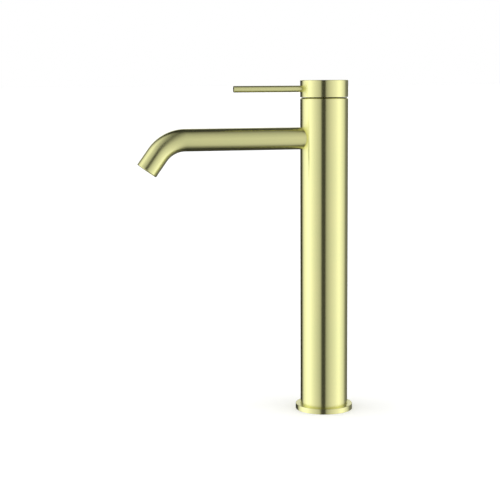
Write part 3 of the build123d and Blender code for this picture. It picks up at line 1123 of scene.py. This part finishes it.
@dataclass
class Handle:
    """The cap that turns and tilts, its lever, and what holds it.

    Attributes:
        top_edge: Rounding of the top edge of the cap.
        rim_edge: Rounding of its lower outer edge.
        top_thickness: Thickness of the top of the cap.
        swing_gap: Gap between the cap and the column while it tilts.
        column_bevel: Bevel of the top of the column.
        hub: Radius of the hub.
        hub_edge: Rounding of its lower edge.
        socket: Side of the square socket.
        socket_rise: Height of the socket's roof over the pivot.
        boss: Radius of the boss round the lever's thread.
        boss_inset: How far the boss ends inside the wall of the cap.
        thread: Radius of that thread.
        thread_gap: Gap between the thread and the stud of the lever.
        thread_start: Where the thread starts, as a share of half the socket.
        stud_edge: Rounding of the end of the stud.
        seat_depth: Depth of the seat of the lever.
        seat_edge: Rounding of the lever's edge in the seat.
        tip_edge: Rounding of the tip of the lever.
        gap: Gap round the lever in its seat.
    """

    top_edge: float = 0.6 * MM
    rim_edge: float = 0.15 * MM
    top_thickness: float = 8.2 * MM
    swing_gap: float = 0.3 * MM
    column_bevel: float = 1.3 * MM
    hub: float = 7.5 * MM
    hub_edge: float = 0.2 * MM
    socket: float = 8.1 * MM
    socket_rise: float = 24.1 * MM
    boss: float = 4.5 * MM
    boss_inset: float = 0.4 * MM
    thread: float = 2.53 * MM
    thread_gap: float = 0.03 * MM
    thread_start: float = 0.9
    stud_edge: float = 0.3 * MM
    seat_depth: float = 1.5 * MM
    seat_edge: float = 0.1 * MM
    tip_edge: float = 0.3 * MM
    gap: float = 0.05 * MM

    @property
    def pivot(self) -> float:
        """Height of the axis that the handle tilts about."""
        joints = {joint["name"]: joint for joint in frame["record"]["behaviour"]["joints"]}
        return joints["handle_lift"]["pos_m"][2]

    def lever_axis(self) -> Axis:
        """Gives the axis of the lever, with distances growing towards its tip."""
        low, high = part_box("lever_rod")
        return Axis(Vector((0, 0, (low[2] + high[2]) / 2)), Vector((-1, 0, 0)), Vector((0, 0, 1)))

    def rod_between(self, name: str, radius: float, start: float, end: float) -> Piece:
        """Builds a plain rod on the axis of the lever.

        Args:
            name: Name of the rod.
            radius: Its radius.
            start: Where it starts.
            end: Where it ends.

        Returns:
            The rod.
        """
        corners = [Corner(0, start), Corner(radius, start), Corner(radius, end), Corner(0, end)]
        return turned(name, corners, self.lever_axis(), closed=False, steps=96)

    def cap(self) -> Piece:
        """Builds the cap, hollow below so that it swings over the top of the column."""
        low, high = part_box("handle_cap")
        radius = box_radius("handle_cap")
        column_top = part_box("column")[1][2]
        swing = math.hypot(radius, column_top - self.column_bevel - self.pivot) + self.swing_gap
        ceiling = high[2] - self.top_thickness
        hollow = arc_between(self.pivot, swing, low[2], ceiling, steps=24)
        corners = [
            Corner(0, low[2]),
            Corner(self.hub, low[2], self.hub_edge),
            Corner(self.hub, ceiling),
            *reversed(hollow),
            Corner(radius, low[2], self.rim_edge),
            Corner(radius, high[2], self.top_edge),
            Corner(0, high[2]),
        ]
        cap = turned("cap", corners, UPRIGHT, closed=False, steps=256)
        combine(cap, self.rod_between("boss", self.boss, 0.0, radius - self.boss_inset), Joining.ADD)
        half = self.socket / 2
        roof = self.pivot + self.socket_rise
        well = block("socket", Vector((-half, -half, low[2] - MM)), Vector((half, half, roof)), Matrix())
        combine(cap, well, Joining.CUT)
        seat = radius - self.seat_depth
        start = half * self.thread_start
        combine(cap, self.rod_between("thread", self.thread, start, seat + MM), Joining.CUT)
        around = box_radius("lever_rod") + self.gap
        combine(cap, self.rod_between("seat", around, seat, radius + MM), Joining.CUT)
        true_wall(cap, radius)
        return cap

    def lever(self) -> Piece:
        """Builds the lever rod with its threaded stud."""
        low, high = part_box("lever_rod")
        radius = box_radius("lever_rod")
        seat = box_radius("handle_cap") - self.seat_depth
        stud = self.thread - self.thread_gap
        corners = [
            Corner(0, -high[0]),
            Corner(stud, -high[0], self.stud_edge),
            Corner(stud, seat),
            Corner(radius, seat, self.seat_edge),
            Corner(radius, -low[0], self.tip_edge),
            Corner(0, -low[0]),
        ]
        return turned("lever", corners, self.lever_axis(), closed=False, steps=96)

    def build(self, dresser: Dresser) -> None:
        """Builds and dresses the cap and the lever, and dresses what holds them.

        Args:
            dresser: The finishes and bodies.
        """
        dresser.dress(self.cap(), "handle_cap")
        dresser.dress(self.lever(), "lever_rod")
        dresser.carry(("grub_screw", "spindle"))


# ---- studio


@dataclass(frozen=True)
class Studio:
    """Soft light from a tent of panels, a pale floor, and the camera.

    The light comes from the world, by direction only. Angles round the tent count from the camera's
    side, and grow to the right.

    Attributes:
        turn: Angle between the model's -Y axis and the camera's heading, in degrees.
        around: Brightness round the tent, as (degrees, level).
        height: Share of that brightness by elevation, as (degrees, share).
        rear: Brightness of a low panel behind the faucet, as (degrees, level).
        rear_band: Share of that panel by elevation, as (degrees, share).
        backdrop: Brightness of what is seen behind the faucet.
        key_strength: Light from the overhead lamp, in watts for each square metre.
        key_spread: Angle that the lamp seems to fill, in degrees.
        floor_size: Side of the floor.
        floor_tone: Colour of the floor.
        floor_shade: How much of that colour its darker patches keep.
        camera_side: Sideways distance of the camera.
        camera_back: Distance of the camera from the faucet.
        camera_height: Height of the camera.
        pitch: How far the camera looks down, in degrees.
        roll: How far the camera leans, in degrees.
        lens: Focal length, in millimetres.
        sensor: Width of the sensor, in millimetres.
    """

    turn: float = 13.0
    around: Ramp = (
        (-180.0, 0.03), (-141.0, 0.03), (-130.0, 0.48), (-120.0, 0.98), (-105.0, 1.20), (-90.0, 1.43),
        (-78.0, 1.38), (-64.0, 1.13), (-48.0, 0.89), (-34.0, 0.72), (-24.0, 0.59), (-18.5, 0.49),
        (-14.5, 0.07), (2.5, 0.05), (6.5, 0.41), (14.0, 0.54), (26.0, 0.73), (40.0, 0.88), (56.0, 1.04),
        (68.0, 1.23), (78.0, 1.27), (88.0, 1.14), (102.0, 0.90), (112.0, 0.69), (124.0, 0.23),
        (160.0, 0.14), (180.0, 0.06),
    )
    height: Ramp = (
        (-90.0, 0.03), (-84.0, 0.05), (-70.0, 0.25), (-56.0, 0.69), (-44.0, 0.91), (-32.0, 1.01),
        (-21.0, 1.05), (-10.0, 1.05), (1.0, 1.08), (12.0, 1.06), (23.0, 0.95), (34.0, 0.87),
        (45.0, 0.74), (56.5, 0.60), (69.0, 0.36), (82.0, 0.09), (90.0, 0.03),
    )
    rear: Ramp = (
        (-180.0, 0.75), (-160.0, 0.75), (-140.0, 0.0), (140.0, 0.0), (160.0, 0.75), (180.0, 0.75),
    )
    rear_band: Ramp = ((3.0, 0.0), (9.0, 1.0), (24.0, 1.0), (38.0, 0.0))
    backdrop: float = 1.0
    key_strength: float = 2.4
    key_spread: float = 150.0
    floor_size: float = 200.0
    floor_tone: Colour = (0.93, 0.93, 0.92)
    floor_shade: float = 0.985
    camera_side: float = -0.07058
    camera_back: float = 1.2057
    camera_height: float = 0.3120
    pitch: float = 7.45
    roll: float = -0.37
    lens: float = 91.8
    sensor: float = 36.0

    def ramp(self, tent: Wiring, angle: Socket, stops: Ramp, span: float) -> Socket:
        """Looks an angle up in a colour ramp.

        Args:
            tent: The nodes of the world.
            angle: The angle, in radians.
            stops: The levels, as (degrees, level).
            span: Half the range of angles, in degrees.

        Returns:
            The level's socket.
        """
        node = tent.nodes.new("ShaderNodeValToRGB")
        points = node.color_ramp.elements
        while len(points) > 1:
            points.remove(points[0])
        for index, (degrees, level) in enumerate(stops):
            place = (degrees + span) / (2 * span)
            point = points[0] if index == 0 else points.new(place)
            point.position = place
            point.color = (level, level, level, 1.0)
        factor = tent.maths("ADD", tent.maths("MULTIPLY", angle, 0.5 / math.radians(span)), 0.5)
        tent.link(factor, node.inputs[0])
        return node.outputs[0]

    def light(self) -> None:
        """Builds the light tent as the world."""
        world = bpy.data.worlds.new("light_tent")
        bpy.context.scene.world = world
        world.use_nodes = True
        tent = Wiring(world.node_tree)
        direction = tent.nodes.new("ShaderNodeTexCoord")
        turned_by = tent.nodes.new("ShaderNodeVectorRotate")
        turned_by.rotation_type = "Z_AXIS"
        turned_by.inputs["Angle"].default_value = math.radians(self.turn)
        tent.link(direction.outputs["Generated"], turned_by.inputs["Vector"])
        parts = tent.nodes.new("ShaderNodeSeparateXYZ")
        tent.link(turned_by.outputs[0], parts.inputs[0])
        azimuth = tent.maths("ARCTAN2", parts.outputs[0], tent.maths("MULTIPLY", parts.outputs[1], -1.0))
        elevation = tent.maths("ARCSINE", parts.outputs[2])
        around = self.ramp(tent, azimuth, self.around, 180.0)
        height = self.ramp(tent, elevation, self.height, 90.0)
        rear = self.ramp(tent, azimuth, self.rear, 180.0)
        rear_band = self.ramp(tent, elevation, self.rear_band, 90.0)
        walls = tent.maths("MULTIPLY", around, height)
        lit = tent.maths("ADD", walls, tent.maths("MULTIPLY", rear, rear_band))
        seen = tent.nodes.new("ShaderNodeLightPath")
        level = tent.nodes.new("ShaderNodeMix")
        tent.link(seen.outputs["Is Camera Ray"], level.inputs[0])
        tent.link(lit, level.inputs[2])
        level.inputs[3].default_value = self.backdrop
        background = tent.nodes["Background"]
        tent.link(level.outputs[0], background.inputs["Strength"])
        background.inputs["Color"].default_value = (1.0, 1.0, 1.0, 1.0)

    def key(self) -> None:
        """Hangs a wide soft lamp overhead, which lights the floor and isn't mirrored in the metal."""
        data = bpy.data.lights.new("overhead_lamp", "SUN")
        data.energy = self.key_strength
        data.angle = math.radians(self.key_spread)
        lamp = bpy.data.objects.new("overhead_lamp", data)
        lamp.visible_glossy = False
        lamp.visible_camera = False
        bpy.context.scene.collection.objects.link(lamp)

    def floor(self) -> None:
        """Lays the pale floor under the faucet. The metal doesn't mirror it."""
        half = self.floor_size / 2
        signs = ((-1, -1), (1, -1), (1, 1), (-1, 1))
        verts = [Vector((x * half, y * half, 0)) for x, y in signs]
        floor = piece_from("studio_floor", verts, [[0, 1, 2, 3]])
        sheet = Sheet("studio_floor")
        darker = tuple(channel * self.floor_shade for channel in self.floor_tone)
        sheet.tint(sheet.cloud(40.0, detail=2.0), darker, self.floor_tone)
        sheet.set(Roughness=0.9, Specular_IOR_Level=0.1)
        floor.data.materials.append(sheet.material)
        floor.visible_glossy = False

    def camera(self) -> None:
        """Puts the camera in front of the faucet."""
        data = bpy.data.cameras.new("camera")
        data.sensor_width = self.sensor
        data.lens = self.lens
        camera = bpy.data.objects.new("camera", data)
        bpy.context.scene.collection.objects.link(camera)
        spin = Matrix.Rotation(-math.radians(self.turn), 4, "Z")
        place = Matrix.Translation((self.camera_side, -self.camera_back, self.camera_height))
        look = Matrix.Rotation(math.radians(90.0 - self.pitch), 4, "X")
        lean = Matrix.Rotation(math.radians(self.roll), 4, "Z")
        camera.matrix_world = spin @ place @ look @ lean
        bpy.context.scene.camera = camera

    def build(self) -> None:
        """Builds the tent, the lamp, the floor and the camera."""
        self.light()
        self.key()
        self.floor()
        self.camera()
        bpy.context.scene.view_settings.view_transform = "Standard"
        LOG.info("studio with a %.0f m floor", self.floor_size)


def main() -> None:
    """Builds the studio and the faucet."""
    logging.basicConfig(level=logging.INFO, format="%(name)s: %(message)s")
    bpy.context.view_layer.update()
    dresser = Dresser()
    spout = Spout()
    column = Column()
    handle = Handle()
    Studio().build()
    column.build(dresser, spout)
    spout.build(dresser, column.bore)
    handle.build(dresser)


if __name__ == "__main__":
    main()
